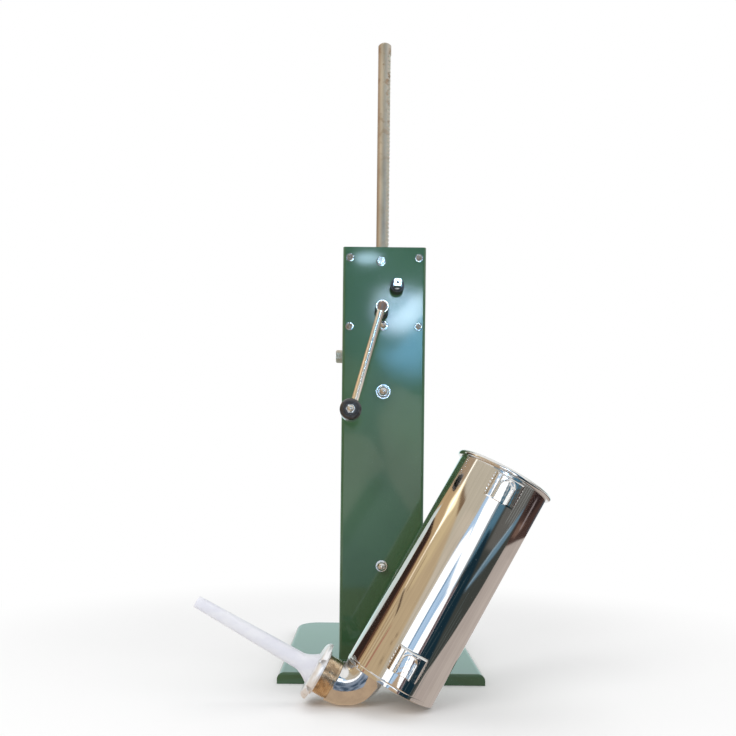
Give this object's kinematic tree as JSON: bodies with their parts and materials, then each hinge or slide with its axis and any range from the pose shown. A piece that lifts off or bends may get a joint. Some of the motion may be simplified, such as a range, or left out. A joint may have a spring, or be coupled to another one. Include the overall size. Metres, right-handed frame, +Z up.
{
  "type": "vertical sausage stuffer",
  "caption": "Hand-cranked vertical sausage stuffer: folded steel column on a tray base, geared rack and piston, and a lift-off steel cylinder with an elbow outlet and nozzle.",
  "frame": {"origin": "middle of the tray base, on the table that the tray's edges stand on", "axes": "+Z up along the rack, +Y from the column towards the front of the tray, +X to the right seen from the crank side"},
  "size_m": [0.4375, 0.5276, 0.944],
  "materials": {
    "green_paint": "glossy",
    "polished_steel": "mirror polished",
    "bright_fasteners": "bright zinc plate",
    "plated_steel": "dull zinc plate",
    "rack_steel": "bare, worn",
    "gear_steel": "machined",
    "crank_chrome": "polished",
    "black_collar": "satin",
    "knob_black": "glossy",
    "bronze": "machined",
    "white_plastic": "satin, slightly translucent",
    "seal_rubber": "matt"
  },
  "bodies": {
    "frame": {"base": "green_paint", "column": "green_paint", "head_top_cover": "green_paint", "front_cover": "green_paint", "front_cover_screws": "plated_steel", "lower_guide": "plated_steel", "rack_bush": "black_collar", "bearing_plate": "plated_steel", "plate_spacers": "plated_steel", "gearbox_screws": "bright_fasteners", "gearbox_washers": "bright_fasteners", "plate_nuts": "plated_steel", "top_bolt": "bright_fasteners", "gearbox_stud": "bright_fasteners", "crank_bushes": "bronze", "pinion_bushes": "bronze", "shaft_collars": "black_collar", "hanger_studs": "bright_fasteners", "hanger_sleeves": "plated_steel", "hanger_washers": "bright_fasteners", "hanger_dome_nuts": "bright_fasteners", "brake_boss": "plated_steel", "foot_bolts": "plated_steel"},
    "plunger": {"rack_bar": "rack_steel", "piston_plate": "white_plastic", "piston_seal": "seal_rubber", "piston_nut": "plated_steel"},
    "valve": {"air_valve": "white_plastic"},
    "crank": {"crank_shaft": "gear_steel", "crank_pinion": "gear_steel", "crank_arm": "crank_chrome", "crank_set_screw": "black_collar", "knob_pin": "crank_chrome", "knob_nut": "bright_fasteners"},
    "hand_knob": {"knob": "knob_black"},
    "pinion": {"pinion_shaft": "gear_steel", "drive_gear": "gear_steel", "rack_pinion": "gear_steel", "shaft_clips": "gear_steel"},
    "brake": {"brake_shoe": "black_collar"},
    "screw": {"brake_screw": "plated_steel"},
    "cylinder": {"cylinder_tube": "polished_steel", "cylinder_bottom": "polished_steel", "upper_lug": "polished_steel", "lower_lug": "polished_steel", "elbow": "polished_steel", "threaded_neck": "polished_steel"},
    "outlet": {"nozzle": "white_plastic", "nozzle_gasket": "seal_rubber"},
    "nut": {"ring_nut": "polished_steel"}
  },
  "joints": [
    {"name": "plunger_slide", "type": "slide", "parent": "frame", "child": "plunger", "axis": [0, 0, 1], "range_m": [-0.285, 0]},
    {"name": "valve_slide", "type": "slide", "parent": "plunger", "child": "valve", "axis": [0, 0, 1], "range_m": [0, 0.003]},
    {"name": "crank_turn", "type": "hinge", "parent": "frame", "child": "crank", "pos_m": [-0.00374, -0.144, 0.50839], "axis": [0, 1, 0], "range_deg": [0, 5725]},
    {"name": "pinion_turn", "type": "hinge", "parent": "frame", "child": "pinion", "pos_m": [0.0173, -0.144, 0.543], "axis": [0, 1, 0], "range_deg": [-1638, 0]},
    {"name": "knob_spin", "type": "hinge", "parent": "crank", "child": "hand_knob", "pos_m": [-0.04383, -0.224, 0.36385], "axis": [0, 1, 0], "continuous": true},
    {"name": "brake_slide", "type": "slide", "parent": "frame", "child": "brake", "axis": [1, 0, 0], "range_m": [-0.003, 0.0002]},
    {"name": "brake_turn", "type": "hinge", "parent": "brake", "child": "screw", "pos_m": [-0.06, -0.032, 0.464], "axis": [1, 0, 0], "range_deg": [-725, 53]},
    {"name": "cylinder_carry", "type": "slide", "parent": "frame", "child": "cylinder", "axis": [0, -1, 0], "range_m": [0, 0.25]},
    {"name": "nozzle_slide", "type": "slide", "parent": "cylinder", "child": "outlet", "axis": [-0.8745, 0.0182, 0.4846], "range_m": [0, 0.004]},
    {"name": "nut_turn", "type": "hinge", "parent": "outlet", "child": "nut", "pos_m": [-0.07772, -0.27639, 0.03921], "axis": [-0.8745, 0.0182, 0.4846], "range_deg": [0, 725]}
  ],
  "couplings": [
    {"joint": "pinion_turn", "follows": "plunger_slide", "rad_per_m": 100},
    {"joint": "crank_turn", "follows": "plunger_slide", "rad_per_m": -350},
    {"joint": "brake_turn", "follows": "brake_slide", "rad_per_m": 4188.8},
    {"joint": "nut_turn", "follows": "nozzle_slide", "rad_per_m": 3141.6}
  ]
}
